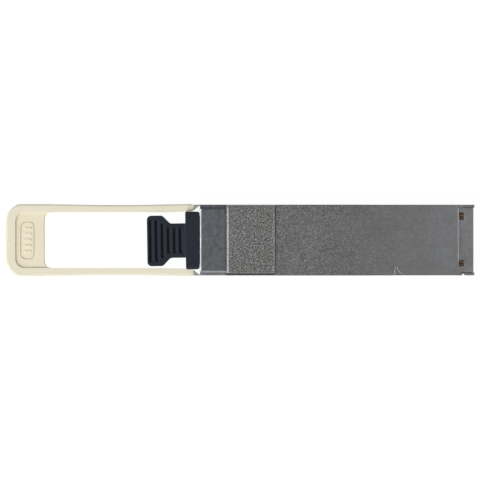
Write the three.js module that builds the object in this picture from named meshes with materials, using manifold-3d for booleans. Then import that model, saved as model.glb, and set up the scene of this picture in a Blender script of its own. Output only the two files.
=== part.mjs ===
// Pluggable optical transceiver module with a pull tab and a dust plug in its fibre port.
// Millimetres, +Z up. The origin is on the underside, in the middle of the width, below the
// stop shoulder. +X runs towards the card edge, -X towards the pull tab.
import * as THREE from 'three';
import { mergeVertices } from 'three/addons/utils/BufferGeometryUtils.js';
import Module from 'manifold-3d';

const wasm = await Module();
wasm.setup();

// ---------------------------------------------------------------- driving dimensions
const HALF_WIDTH = 9.175;          // shell half width
const X_NOSE = -19.5;              // front face of the nose
const X_RAISED = -12.57;           // front of the raised section
const X_SHOULDER = 0;              // stop shoulder
const X_STEP = 47.56;              // small step near the rear end
const X_NECK = 48.3;               // lid narrows between the side walls from here
const X_COVER = 51.44;             // rear end of the lid
const X_END = 51.7;                // rear end of the side walls
const Z_NOSE = 8.4;                // top of the nose block
const Z_RAISED = 9.2;              // top of the raised section
const Z_TOP = 8.5;                 // heat-sink face
const Z_REAR = 8.25;               // top of the rear strip
const Z_SPLIT = 7.28;              // top of the base's walls under the lid
const GAP = 0.02;                  // gap between faces that touch
const FLOOR = 1.0;                 // floor thickness

const PORT_Y = 6.4, PORT_Z0 = 1.0, PORT_Z1 = 8.0;    // fibre port
const Z_PORT = 4.5;                // middle of the port
const GROOVE_Z0 = 2.7, GROOVE_Z1 = 6.3, GROOVE_Y = 8.75;  // side grooves for the slider
const LATCH_X0 = 21.2, LATCH_X1 = 31.3, LATCH_Y = 8.15;   // deeper latch pockets
const SPRING_X0 = 1.0, SPRING_X1 = 11.2;                   // spring pockets
const SCREW_X = -2.6, SCREW_Y = 5.4;

const SHEET = 0.36;                // slider sheet thickness
const ARM_Y0 = 8.84, ARM_Y1 = ARM_Y0 + SHEET;
const ARM_Z0 = 2.95, ARM_Z1 = 6.05;
const X_TIP = 30.85;               // slider release tip
const X_ARM_END = -21.25;          // where the moulded arms end
const BRIDGE_X0 = -12.6, BRIDGE_X1 = -8.8;

const X_TAB = -69.8, X_WINDOW = -59.7;
const TAB_Z0 = 2.9, TAB_Z1 = 6.1, WEB_Z0 = 3.25, WEB_Z1 = 5.75;

const BOARD_Z0 = 3.3, BOARD_Z1 = 4.3, X_BOARD = 50.4;

// ---------------------------------------------------------------- solid helpers
function solid(geometry) {
  let g = geometry.clone();
  g.deleteAttribute('normal');
  g.deleteAttribute('uv');
  g = mergeVertices(g, 1e-5);
  const index = g.index ? g.index.array : Uint32Array.from({ length: g.attributes.position.count }, (_, i) => i);
  const mesh = new wasm.Mesh({
    numProp: 3,
    vertProperties: Float32Array.from(g.attributes.position.array),
    triVerts: Uint32Array.from(index),
  });
  mesh.merge();
  return new wasm.Manifold(mesh);
}
function toGeometry(manifold) {
  const mesh = manifold.getMesh();
  const g = new THREE.BufferGeometry();
  const p = new Float32Array(mesh.numVert * 3);
  for (let i = 0; i < mesh.numVert; i++)
    for (let k = 0; k < 3; k++) p[3 * i + k] = mesh.vertProperties[i * mesh.numProp + k];
  g.setAttribute('position', new THREE.BufferAttribute(p, 3));
  g.setIndex(new THREE.BufferAttribute(Uint32Array.from(mesh.triVerts), 1));
  return g;
}
const box = (x0, x1, y0, y1, z0, z1) =>
  solid(new THREE.BoxGeometry(x1 - x0, y1 - y0, z1 - z0)
    .translate((x0 + x1) / 2, (y0 + y1) / 2, (z0 + z1) / 2));
const both = (x0, x1, y0, y1, z0, z1) =>
  box(x0, x1, y0, y1, z0, z1).add(box(x0, x1, -y1, -y0, z0, z1));
const shapeOf = (points) => new THREE.Shape(points.map(([a, b]) => new THREE.Vector2(a, b)));
function extrude(shape, depth, curveSegments = 8) {
  return new THREE.ExtrudeGeometry(shape, { depth, bevelEnabled: false, steps: 1, curveSegments });
}
// (x, y) outline raised along Z
const prismZ = (outline, z0, z1, curve = 8) =>
  solid(extrude(outline instanceof THREE.Shape ? outline : shapeOf(outline), z1 - z0, curve).translate(0, 0, z0));
// (y, z) outline run along X
const TO_X = new THREE.Matrix4().set(0, 0, 1, 0, 1, 0, 0, 0, 0, 1, 0, 0, 0, 0, 0, 1);
const prismX = (points, x0, x1) =>
  solid(extrude(shapeOf(points), x1 - x0).applyMatrix4(TO_X).translate(x0, 0, 0));
// (x, z) outline run along Y
const TO_Y = new THREE.Matrix4().set(0, 1, 0, 0, 0, 0, 1, 0, 1, 0, 0, 0, 0, 0, 0, 1);
const prismY = (points, y0, y1) =>
  solid(extrude(shapeOf(points.map(([x, z]) => [z, x])), y1 - y0).applyMatrix4(TO_Y).translate(0, y0, 0));
const mirrored = (half) => [...half, ...half.slice().reverse().map(([y, z]) => [-y, z])];
const cylinderZ = (x, y, r0, r1, z0, z1, n = 24) =>
  solid(new THREE.CylinderGeometry(r1, r0, z1 - z0, n).rotateX(Math.PI / 2).translate(x, y, (z0 + z1) / 2));
const cylinderX = (x0, x1, y, z, r, n = 16) =>
  solid(new THREE.CylinderGeometry(r, r, x1 - x0, n).rotateZ(Math.PI / 2).translate((x0 + x1) / 2, y, z));
const flipY = (m) => m.mirror([0, 1, 0]);
const sum = (...list) => list.reduce((a, b) => a.add(b));
const less = (a, ...list) => list.reduce((x, b) => x.subtract(b), a);

// a rounded rectangle with its own radius at the low-x and high-x corners
function roundedRect(x0, x1, y, rLow, rHigh) {
  const s = new THREE.Shape();
  s.moveTo(x0 + rLow, -y);
  s.lineTo(x1 - rHigh, -y);
  if (rHigh > 0) s.absarc(x1 - rHigh, -y + rHigh, rHigh, -Math.PI / 2, 0, false);
  s.lineTo(x1, y - rHigh);
  if (rHigh > 0) s.absarc(x1 - rHigh, y - rHigh, rHigh, 0, Math.PI / 2, false);
  s.lineTo(x0 + rLow, y);
  s.absarc(x0 + rLow, y - rLow, rLow, Math.PI / 2, Math.PI, false);
  s.lineTo(x0, -y + rLow);
  s.absarc(x0 + rLow, -y + rLow, rLow, Math.PI, 1.5 * Math.PI, false);
  return s;
}

// ---------------------------------------------------------------- base housing
function baseHousing() {
  const nose = prismX(mirrored([[8.85, 0], [9.1, 0.25], [9.1, 7.75], [8.45, 7.75], [8.45, 8.0], [8.05, Z_NOSE]]),
    X_NOSE, X_RAISED - 0.03);
  const front = prismX(mirrored([[8.92, 0], [HALF_WIDTH, 0.25], [HALF_WIDTH, 7.9], [8.57, 7.9], [8.57, Z_SPLIT]]),
    X_RAISED - 0.03, X_SHOULDER);
  const long = prismX(mirrored([[8.92, 0], [HALF_WIDTH, 0.25], [HALF_WIDTH, Z_SPLIT]]), X_SHOULDER, X_NECK + GAP);
  const rear = prismX(mirrored([[8.92, 0], [HALF_WIDTH, 0.25], [HALF_WIDTH, Z_REAR], [8.3, Z_REAR]]),
    X_NECK + GAP, X_END);
  // the front face's top edge is chamfered
  const bevel = prismY([[X_NOSE - 1, Z_NOSE + 0.7], [X_NOSE - 1, Z_NOSE - 1.3], [X_NOSE + 0.3, Z_NOSE], [X_NOSE + 0.3, Z_NOSE + 0.7]], -8.3, 8.3);
  let body = sum(less(nose, bevel.intersect(box(-30, 0, -8.05, 8.05, 8.0, 10))), front, long, rear);
  // inside: port, screw bay, spring bay, board bay, card-edge bay
  body = less(body,
    box(X_NOSE - 1, -5, -PORT_Y, PORT_Y, PORT_Z0, PORT_Z1),
    box(-5, 0.4, -7.5, 7.5, FLOOR, 10),
    box(0.3, 12, -6.2, 6.2, FLOOR, 10),
    box(11.9, 32.5, -7.65, 7.65, FLOOR, 10),
    box(32.4, X_END + 1, -8.4, 8.4, FLOOR, 10));
  // screw posts, board ledges, heat pedestal
  for (const s of [-1, 1]) body = body.add(cylinderZ(SCREW_X, s * SCREW_Y, 1.9, 1.9, FLOOR - 0.1, 3.55, 28));
  body = sum(body,
    both(13, 31, 6.9, 7.7, FLOOR - 0.1, BOARD_Z0 - GAP),
    both(34, 46.5, 7.8, 8.45, FLOOR - 0.1, BOARD_Z0 - GAP),
    box(3.4, 4.6, -5.2, 5.2, FLOOR - 0.1, BOARD_Z0 - GAP),
    box(22.5, 30.5, -5, 5, FLOOR - 0.1, 2.3));
  for (const s of [-1, 1])
    body = less(body,
      cylinderZ(SCREW_X, s * SCREW_Y, 1.05, 1.05, -1, 4, 24),
      cylinderZ(SCREW_X, s * SCREW_Y, 1.95, 1.05, -0.001, 0.9, 24));
  // slider grooves, latch pockets, spring pockets
  body = less(body,
    both(X_NOSE - 1, LATCH_X1, GROOVE_Y, 12, GROOVE_Z0, GROOVE_Z1),
    both(LATCH_X0, LATCH_X1, LATCH_Y, 12, GROOVE_Z0, GROOVE_Z1),
    both(SPRING_X0, SPRING_X1, 6.8, 12, 3.45, 5.55));
  // recess for the slider's bridge: across the underside and up both sides
  const reach = BRIDGE_X0 - 3.4;
  body = less(body,
    box(reach, BRIDGE_X1 + 0.3, -12, 12, -1, 0.46),
    both(reach, BRIDGE_X1 + 0.3, GROOVE_Y, 12, -1, GROOVE_Z0 + 0.1));
  // label recess and the small notch in one side wall
  body = less(body,
    prismZ(roundedRect(7.8, 40.2, 7, 0.8, 0.8), -1, 0.14),
    box(48.5, 49.0, -12, -8.78, -1, 12));
  // the floor ends level with the lid, a little short of the side walls, whose ends are clear of the underside
  body = less(body,
    box(X_COVER - 0.04, X_END + 1, -8.4, 8.4, -1, 12),
    box(X_COVER - 0.04, X_END + 1, -12, 12, -1, 0.25));
  return body;
}

// ---------------------------------------------------------------- top cover
function topCover() {
  const raised = prismY([[X_RAISED, Z_SPLIT + GAP], [X_SHOULDER + 0.02, Z_SPLIT + GAP], [X_SHOULDER + 0.02, Z_TOP],
    [X_SHOULDER, Z_TOP], [X_SHOULDER, Z_RAISED - 0.15], [X_SHOULDER - 0.15, Z_RAISED],
    [X_RAISED + 0.42, Z_RAISED], [X_RAISED, Z_RAISED - 0.5]], -8.55, 8.55);
  const plate = prismY([[X_SHOULDER, Z_SPLIT + GAP], [X_NECK, Z_SPLIT + GAP], [X_NECK, Z_REAR],
    [X_STEP + 0.1, Z_REAR], [X_STEP - 0.2, Z_TOP], [X_SHOULDER, Z_TOP]], -HALF_WIDTH, HALF_WIDTH);
  const neck = box(X_NECK - 0.01, X_COVER, -8.35, 8.35, Z_SPLIT + GAP, Z_REAR);
  let body = sum(raised, plate, neck);
  // clearance over the port, and the two windows
  body = less(body,
    box(X_RAISED - 1, -5, -PORT_Y, PORT_Y, 7, PORT_Z1 + 0.0),
    box(47.72, 48.96, 5.26, 7.2, 5, 10),
    box(47.72, 48.96, -6.76, -5.18, 5, 10));
  // bosses, hold-down ribs, heat pedestal
  for (const s of [-1, 1]) body = body.add(cylinderZ(SCREW_X, s * SCREW_Y, 1.9, 1.9, 3.6, 7.6, 28));
  body = sum(body,
    both(13.2, 30.8, 6.95, 7.55, BOARD_Z1 + 0.05, 7.5),
    both(34.2, 46.2, 7.75, 8.3, BOARD_Z1 + 0.05, 7.5),
    box(23.2, 29.8, -5.3, 5.3, 6.3, 7.5));
  for (const s of [-1, 1]) body = body.subtract(cylinderZ(SCREW_X, s * SCREW_Y, 0.86, 0.86, 3, 7.0, 20));
  return body;
}

// ---------------------------------------------------------------- screws
function screw(y) {
  const profile = [[0, 6.6], [0.55, 6.6], [0.8, 6.3], [0.8, 3.7], [0.95, 3.5], [0.95, 0.86], [1.8, 0.04], [0, 0.04]]
    .reverse().map(([r, z]) => new THREE.Vector2(r, z));
  const turned = solid(new THREE.LatheGeometry(profile, 24).rotateX(Math.PI / 2).translate(SCREW_X, y, 0));
  return turned.subtract(cylinderZ(SCREW_X, y, 0.75, 0.75, -1, 0.7, 6));
}

// ---------------------------------------------------------------- slider
function sheetPath(path, half = SHEET / 2) {
  // outline of a sheet of even thickness along an (x, y) path
  const up = [], down = [];
  for (let i = 0; i < path.length; i++) {
    const a = path[Math.max(0, i - 1)], b = path[i], c = path[Math.min(path.length - 1, i + 1)];
    const d1 = new THREE.Vector2(b[0] - a[0], b[1] - a[1]).normalize();
    const d2 = new THREE.Vector2(c[0] - b[0], c[1] - b[1]).normalize();
    if (i === 0) d1.copy(d2);
    if (i === path.length - 1) d2.copy(d1);
    const n = new THREE.Vector2(-(d1.y + d2.y), d1.x + d2.x).normalize();
    const k = half / Math.max(0.5, n.dot(new THREE.Vector2(-d1.y, d1.x)));
    up.push([b[0] + n.x * k, b[1] + n.y * k]);
    down.push([b[0] - n.x * k, b[1] - n.y * k]);
  }
  return [...down, ...up.reverse()];
}
const TONGUE = { x0: -28.6, y0: 8.02, y1: 8.42, z0: 3.5, z1: 5.5 };
function pullSlider() {
  const mid = (ARM_Y0 + ARM_Y1) / 2;
  const arm = prismZ(sheetPath([[-19.45, mid], [24.55, mid], [24.8, mid - 0.06], [25.15, 8.48], [25.4, 8.42],
    [29.0, 8.42], [29.25, 8.48], [30.2, 8.93], [30.45, 9.0], [X_TIP, 9.0]]), ARM_Z0, ARM_Z1);
  const gusset = prismZ([[-21.2, 7.62], [-19.56, 8.95], [-19.4, 8.98], [-19.4, ARM_Y1], [-21.2, ARM_Y1]], ARM_Z0, ARM_Z1);
  const tongue = box(TONGUE.x0, -21.1, TONGUE.y0, TONGUE.y1, TONGUE.z0, TONGUE.z1);
  const finger = box(9.65, 10.25, 7.1, ARM_Y0 + 0.05, 3.65, 5.35);
  const leg = box(BRIDGE_X0, BRIDGE_X1, ARM_Y0, ARM_Y1 - 0.06, 0.08, ARM_Z0 + 0.1);
  const side = sum(arm, gusset, tongue, finger, leg);
  const bridge = box(BRIDGE_X0, BRIDGE_X1, -ARM_Y1 + 0.06, ARM_Y1 - 0.06, 0.08, 0.4);
  return sum(side, flipY(side), bridge);
}

// ---------------------------------------------------------------- pull tab
function tabOutline() {
  const s = new THREE.Shape(), rx = 4.0, ry = 5.0;
  s.moveTo(X_TAB + rx, -9.33);
  for (const [x, y] of TAB_EDGE) s.lineTo(x, -y);
  for (const [x, y] of TAB_EDGE.slice().reverse()) s.lineTo(x, y);
  s.lineTo(X_TAB + rx, 9.33);
  s.absellipse(X_TAB + rx, 9.33 - ry, rx, ry, Math.PI / 2, Math.PI, false, 0);
  s.lineTo(X_TAB, -9.33 + ry);
  s.absellipse(X_TAB + rx, -9.33 + ry, rx, ry, Math.PI, 1.5 * Math.PI, false, 0);
  return s;
}
// outer edge of the arms: slightly waisted between the grip and the slider
const TAB_EDGE = [[-60, 9.33], [-56, 9.28], [-51, 9.19], [-46, 9.13], [-40, 9.11], [-34, 9.14], [-29, 9.22],
  [-25, 9.31], [X_ARM_END, 9.36]];
function tabInner(x0, r0) {
  const s = new THREE.Shape();
  s.moveTo(x0 + r0, -7.22);
  s.lineTo(-28, -7.22);
  s.lineTo(X_ARM_END + 1, -7.5);
  s.lineTo(X_ARM_END + 1, 7.5);
  s.lineTo(-28, 7.22);
  s.lineTo(x0 + r0, 7.22);
  s.absarc(x0 + r0, 7.22 - r0, r0, Math.PI / 2, Math.PI, false);
  s.lineTo(x0, -7.22 + r0);
  s.absarc(x0 + r0, -7.22 + r0, r0, Math.PI, 1.5 * Math.PI, false);
  return s;
}
function webOutline() {
  // grip web: it flares into the arms beside the window
  const s = new THREE.Shape(), r = 1.8, y = 7.22, x0 = -67.6;
  s.moveTo(x0, -y - 0.2);
  s.lineTo(X_WINDOW + r, -y - 0.2);
  s.lineTo(X_WINDOW + r, -y);
  s.absarc(X_WINDOW + r, -y + r, r, 1.5 * Math.PI, Math.PI, true);
  s.lineTo(X_WINDOW, y - r);
  s.absarc(X_WINDOW + r, y - r, r, Math.PI, Math.PI / 2, true);
  s.lineTo(X_WINDOW + r, y + 0.2);
  s.lineTo(x0, y + 0.2);
  return s;
}
function pullTab() {
  let body = less(prismZ(tabOutline(), TAB_Z0, TAB_Z1, 16), prismZ(tabInner(-67.28, 2.3), 0, 10, 12));
  // grip web, both faces alike: an engraved oblong ring round five plain grip bars
  let web = prismZ(webOutline(), WEB_Z0, WEB_Z1).intersect(prismZ(roundedRect(-68.5, -50, 8.2, 3.4, 0.5), 0, 10));
  const ring = (z0, z1) => less(prismZ(roundedRect(-65.95, -62.15, 4.95, 1.55, 1.55), z0, z1),
    prismZ(roundedRect(-65.6, -62.5, 4.6, 1.2, 1.2), z0 - 1, z1 + 1));
  web = less(web, ring(WEB_Z1 - 0.12, WEB_Z1 + 1), ring(WEB_Z0 - 1, WEB_Z0 + 0.12));
  for (let i = -2; i <= 2; i++)
    web = web.add(prismZ(roundedRectAt(-64.05, i * 1.5, 0.95, 0.3), WEB_Z0 - 0.14, WEB_Z1 + 0.14));
  body = body.add(web);
  // sockets for the slider's tongues
  const c = 0.04;
  return less(body, both(TONGUE.x0 - 0.1, X_ARM_END + 1, TONGUE.y0 - c, TONGUE.y1 + c, TONGUE.z0 - c, TONGUE.z1 + c));
}
function roundedRectAt(x, y, hx, hy) {
  const s = new THREE.Shape();
  s.moveTo(x - hx + hy, y - hy);
  s.lineTo(x + hx - hy, y - hy);
  s.absarc(x + hx - hy, y, hy, -Math.PI / 2, Math.PI / 2, false);
  s.lineTo(x - hx + hy, y + hy);
  s.absarc(x - hx + hy, y, hy, Math.PI / 2, 1.5 * Math.PI, false);
  return s;
}

// ---------------------------------------------------------------- dust plug
function plugOutline() {
  const s = new THREE.Shape(), x0 = -33.16, w = 6.56, n = 4.46, r = 0.8;
  s.moveTo(x0 + r, -w);
  s.lineTo(-29.9, -w);
  s.quadraticCurveTo(-29.45, -w, -29.15, -w + 0.3);
  s.lineTo(-27.5, -n - 0.3);
  s.quadraticCurveTo(-27.15, -n, -26.7, -n);
  s.lineTo(-23.0, -n);
  s.lineTo(-23.0, n);
  s.lineTo(-26.7, n);
  s.quadraticCurveTo(-27.15, n, -27.5, n + 0.3);
  s.lineTo(-29.15, w - 0.3);
  s.quadraticCurveTo(-29.45, w, -29.9, w);
  s.lineTo(x0 + r, w);
  s.absarc(x0 + r, w - r, r, Math.PI / 2, Math.PI, false);
  s.lineTo(x0, -w + r);
  s.absarc(x0 + r, -w + r, r, Math.PI, 1.5 * Math.PI, false);
  return s;
}
// grip pockets: low-x wall and half width of each
const PLUG_POCKETS = [[-32.66, 5.4], [-31.1, 5.3], [-29.55, 4.4], [-27.99, 3.27], [-26.44, 3.27], [-24.88, 3.27]];
const PLUG_TURN = 0.9;                                     // degrees
function dustPlug() {
  const z0 = Z_PORT - 2.55, z1 = Z_PORT + 2.55;
  let body = prismZ(plugOutline(), z0, z1);
  for (const [x, y] of PLUG_POCKETS) {
    // each pocket is deep at its front wall and runs out towards the port
    const pocket = prismY([[x, z1 - 0.7], [x + 0.25, z1 - 0.7], [x + 1.12, z1 - 0.1], [x + 1.12, z1 + 1], [x, z1 + 1]], -y, y);
    body = less(body, pocket, pocket.mirror([0, 0, 1]).translate([0, 0, 2 * Z_PORT]));
  }
  // the grip is moulded with a sloped foot where its neck meets the flange, and sits slightly askew
  const foot = prismY([[-23.85, z0 + 0.3], [-23.05, z0 - 0.55], [-22.6, z0 - 0.55], [-22.6, z1 + 0.55], [-23.05, z1 + 0.55], [-23.85, z1 - 0.3]], -4.46, 4.46);
  const askew = (m) => m.translate([21, 0, 0]).rotate([0, 0, PLUG_TURN]).translate([-21, -0.06, 0]);
  body = askew(body.add(foot));
  // flange with reliefs where the tab's arms pass
  const flange = prismX(mirrored([[6.9, 0.9], [7.5, 1.5], [7.5, 2.6], [7.0, 2.7], [7.0, 6.3], [7.5, 6.4], [7.5, 7.5], [6.9, 8.1]]),
    -23.6, -19.56)
    .intersect(prismZ(roundedRect(-24.5, -19.56, 7.5, 0.3, 0.65), 0, 10)).translate([0, -0.1, 0])
    .intersect(askew(prismZ(roundedRect(-23.19, -19.1, 7.54, 0.45, 0.05), 0, 10)));
  const collar = box(-19.6, -16.4, -6.2, 6.2, Z_PORT - 3.3, Z_PORT + 3.3);
  const tongue = box(-16.5, -12.8, -4.4, 4.4, Z_PORT - 2.6, Z_PORT + 2.6);
  body = sum(body, flange, collar, tongue);
  return less(body, box(-16.9, -12, -3.6, 3.6, Z_PORT - 1.8, Z_PORT + 1.8));
}

// ---------------------------------------------------------------- fibre port
function latchHook() {
  // left hook, on the +Y side: knuckle, arm and inward bump
  const s = shapeOf([[-8.3, 5.1], [-8.3, 5.9], [-15.6, 5.9], [-16.0, 5.5], [-16.0, 5.15], [-15.5, 4.65], [-15.0, 4.65], [-14.7, 5.1]]);
  return sum(prismZ(s, Z_PORT - 1.5, Z_PORT + 1.5), cylinderZ(-8.3, 5.5, 0.4, 0.4, Z_PORT - 1.5, Z_PORT + 1.5, 16));
}
function portInsert() {
  return less(box(-9.55, -6.05, -6.35, 6.35, 1.0, PORT_Z1 - 0.08),
    box(-10, -5, -3.25, 3.25, Z_PORT - 1.3, Z_PORT + 1.3),
    both(-10, -7.6, 4.8, 7, Z_PORT - 1.8, Z_PORT + 1.8));
}
function mtFerrule() {
  return less(sum(box(-12.4, -6.0, -3.2, 3.2, Z_PORT - 1.25, Z_PORT + 1.25),
    box(-6.0, -4.0, -3.7, 3.7, Z_PORT - 1.75, Z_PORT + 1.75)),
    cylinderX(-13, -3, 2.3, Z_PORT, 0.42, 16), cylinderX(-13, -3, -2.3, Z_PORT, 0.42, 16));
}
function guidePin(y) {
  const profile = [[0, -14.3], [0.16, -14.3], [0.35, -13.75], [0.35, -2.5], [0, -2.5]].map(([r, x]) => new THREE.Vector2(r, x));
  return solid(new THREE.LatheGeometry(profile, 16).rotateZ(-Math.PI / 2).translate(0, y, Z_PORT));
}
function pinKeeper() {
  return less(box(-3.95, -1.9, -3.1, 3.1, Z_PORT - 1.2, Z_PORT + 1.2),
    box(-5, -1, -1.8, 1.8, Z_PORT - 0.45, Z_PORT + 0.45),
    cylinderX(-5, -2.4, 2.3, Z_PORT, 0.42, 16), cylinderX(-5, -2.4, -2.3, Z_PORT, 0.42, 16));
}
function fibreRibbon() {
  // band 3.1 wide and 0.3 thick: level through the keeper, then a gentle rise to the lens block
  const path = [[-3.95, Z_PORT], [-1.6, Z_PORT]];
  for (let i = 1; i < 16; i++) {
    const t = i / 16, e = t * t * (3 - 2 * t);
    path.push([-1.6 + 12.6 * t, Z_PORT + 1.2 * e + 0.35 * Math.sin(Math.PI * t) ** 2]);
  }
  path.push([11.0, Z_PORT + 1.2], [12.0, Z_PORT + 1.2]);
  return prismY(sheetPath(path, 0.15), -1.55, 1.55);
}
function shieldGasket() {
  return less(box(0.6, 2.4, -6.15, 6.15, 1.03, 7.25), box(0, 3, -1.85, 1.85, 4.2, 5.6));
}

// ---------------------------------------------------------------- electronics
function circuitBoard() {
  const half = [[3, 5.9], [12.3, 5.9], [12.3, 7.4], [33, 7.4], [33, 8.2], [49.9, 8.2], [X_BOARD, 7.7]];
  return prismZ([...half.map(([x, y]) => [x, -y]), ...half.slice().reverse()], BOARD_Z0, BOARD_Z1);
}
function lensBlock() {
  return less(box(12.05, 17.5, -3.2, 3.2, BOARD_Z1 + 0.03, 6.6),
    box(14.3, 16.7, -2.6, 2.6, 4, 5.0),
    prismY([[14.9, 6.7], [14.9, 6.6], [15.9, 5.6], [15.9, 6.7]], -2.4, 2.4));
}
const chip = (x0, x1, y0, y1, h) => box(x0, x1, y0, y1, BOARD_Z1 + 0.03, BOARD_Z1 + 0.03 + h);
function powerInductor(x) {
  const s = roundedRect(x, x + 2.5, 1.25, 0.35, 0.35);
  return prismZ(s, BOARD_Z1 + 0.03, BOARD_Z1 + 1.5);
}

// ---------------------------------------------------------------- springs
class Helix extends THREE.Curve {
  constructor(x0, x1, y, z, r, turns) {
    super();
    Object.assign(this, { x0, x1, y, z, r, turns });
  }
  getPoint(t, target = new THREE.Vector3()) {
    const a = t * this.turns * 2 * Math.PI;
    return target.set(this.x0 + (this.x1 - this.x0) * t, this.y + this.r * Math.cos(a), this.z + this.r * Math.sin(a));
  }
}
function returnSpring(y) {
  const wire = 0.16, n = 6, section = [];
  for (let i = 0; i < n; i++) section.push([wire * Math.cos(2 * Math.PI * i / n), wire * Math.sin(2 * Math.PI * i / n)]);
  const curve = new Helix(SPRING_X0 + 0.3, 9.65 - 0.25, y, 4.5, 0.66, 8);
  const g = new THREE.ExtrudeGeometry(shapeOf(section), { steps: 8 * 14, bevelEnabled: false, extrudePath: curve });
  return solid(g);
}

// ---------------------------------------------------------------- assembly
const finish = (hex, roughness, metalness) => new THREE.MeshStandardMaterial({ color: hex, roughness, metalness });
const root = new THREE.Group();
function put(name, manifold, material) {
  const mesh = new THREE.Mesh(toGeometry(manifold), material);
  mesh.name = name;
  root.add(mesh);
}

put('base_housing', baseHousing(), finish(0x5f6165, 0.45, 0.9));
put('top_cover', topCover(), finish(0x6c6c6b, 0.5, 0.9));
put('cover_screw_left', screw(SCREW_Y), finish(0x9a9a9c, 0.35, 1.0));
put('cover_screw_right', screw(-SCREW_Y), finish(0x9a9a9c, 0.35, 1.0));
put('bottom_label', prismZ(roundedRect(8, 40, 6.8, 0.6, 0.6), 0.02, 0.12), finish(0xe9e9e6, 0.5, 0.0));
put('pull_slider', pullSlider(), finish(0xa9aba0, 0.35, 1.0));
put('pull_tab', pullTab(), finish(0xe8e2ce, 0.6, 0.0));
put('return_spring_left', returnSpring(7.8), finish(0xb5b5b5, 0.3, 1.0));
put('return_spring_right', returnSpring(-7.8), finish(0xb5b5b5, 0.3, 1.0));
put('dust_plug', dustPlug(), finish(0x2d3036, 0.6, 0.0));
put('port_insert', portInsert(), finish(0x26272a, 0.6, 0.0));
put('latch_hook_left', latchHook(), finish(0x2b2c30, 0.55, 0.0));
put('latch_hook_right', flipY(latchHook()), finish(0x2b2c30, 0.55, 0.0));
put('mt_ferrule', mtFerrule(), finish(0x3a3a3c, 0.5, 0.0));
put('guide_pin_left', guidePin(2.3), finish(0xc0c0c0, 0.2, 1.0));
put('guide_pin_right', guidePin(-2.3), finish(0xc0c0c0, 0.2, 1.0));
put('pin_keeper', pinKeeper(), finish(0xb0b0b2, 0.35, 1.0));
put('fibre_ribbon', fibreRibbon(), finish(0x5fb8c8, 0.4, 0.0));
put('shield_gasket', shieldGasket(), finish(0x3c3c3e, 0.9, 0.1));
put('circuit_board', circuitBoard(), finish(0x3a2c22, 0.5, 0.0));
put('lens_block', lensBlock(), finish(0xd58a2c, 0.2, 0.0));
put('laser_array', chip(15.2, 15.6, 0.5, 1.75, 0.16), finish(0x6a6a72, 0.2, 0.8));
put('photodiode_array', chip(15.2, 15.6, -1.75, -0.5, 0.16), finish(0x5a5a66, 0.2, 0.8));
put('laser_driver_chip', chip(17.65, 20.4, 0.3, 3.1, 0.4), finish(0x4a4a52, 0.25, 0.6));
put('receiver_amplifier_chip', chip(17.65, 20.4, -3.1, -0.3, 0.4), finish(0x4a4a52, 0.25, 0.6));
put('tx_retimer_chip', chip(24, 29, 0.3, 5.1, 0.85), finish(0x1c1c1e, 0.5, 0.0));
put('rx_retimer_chip', chip(24, 29, -5.1, -0.3, 0.85), finish(0x1c1c1e, 0.5, 0.0));
put('microcontroller', box(33.5, 38.5, -2.5, 2.5, 2.4, BOARD_Z0 - 0.03), finish(0x1c1c1e, 0.5, 0.0));
put('power_inductor_front', powerInductor(35.5), finish(0x4a4a4a, 0.6, 0.1));
put('power_inductor_rear', powerInductor(39.5), finish(0x4a4a4a, 0.6, 0.1));
put('thermal_pad_top', box(23.4, 29.6, -5.2, 5.2, 5.2, 6.28), finish(0x9fa6ad, 0.8, 0.0));
put('thermal_pad_bottom', box(22.7, 30.3, -4.8, 4.8, 2.32, BOARD_Z0 - 0.03), finish(0x9fa6ad, 0.8, 0.0));

export default root;
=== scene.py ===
import math
import random

import bmesh
import bpy
from mathutils import Matrix, Vector


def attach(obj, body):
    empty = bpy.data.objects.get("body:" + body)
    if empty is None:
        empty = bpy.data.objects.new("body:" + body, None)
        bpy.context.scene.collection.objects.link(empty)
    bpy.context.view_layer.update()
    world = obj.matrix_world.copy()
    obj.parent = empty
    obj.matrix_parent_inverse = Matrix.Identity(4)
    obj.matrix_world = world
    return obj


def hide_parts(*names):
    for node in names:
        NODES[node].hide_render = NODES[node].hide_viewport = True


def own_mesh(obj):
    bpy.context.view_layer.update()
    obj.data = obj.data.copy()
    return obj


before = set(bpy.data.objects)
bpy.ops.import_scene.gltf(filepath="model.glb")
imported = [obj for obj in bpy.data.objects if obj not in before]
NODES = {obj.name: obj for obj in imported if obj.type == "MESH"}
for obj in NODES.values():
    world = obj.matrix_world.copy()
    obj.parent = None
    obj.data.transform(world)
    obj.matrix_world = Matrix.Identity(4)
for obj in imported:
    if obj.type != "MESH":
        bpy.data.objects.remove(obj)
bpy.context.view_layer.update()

MM = 0.001
scene = bpy.context.scene


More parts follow.
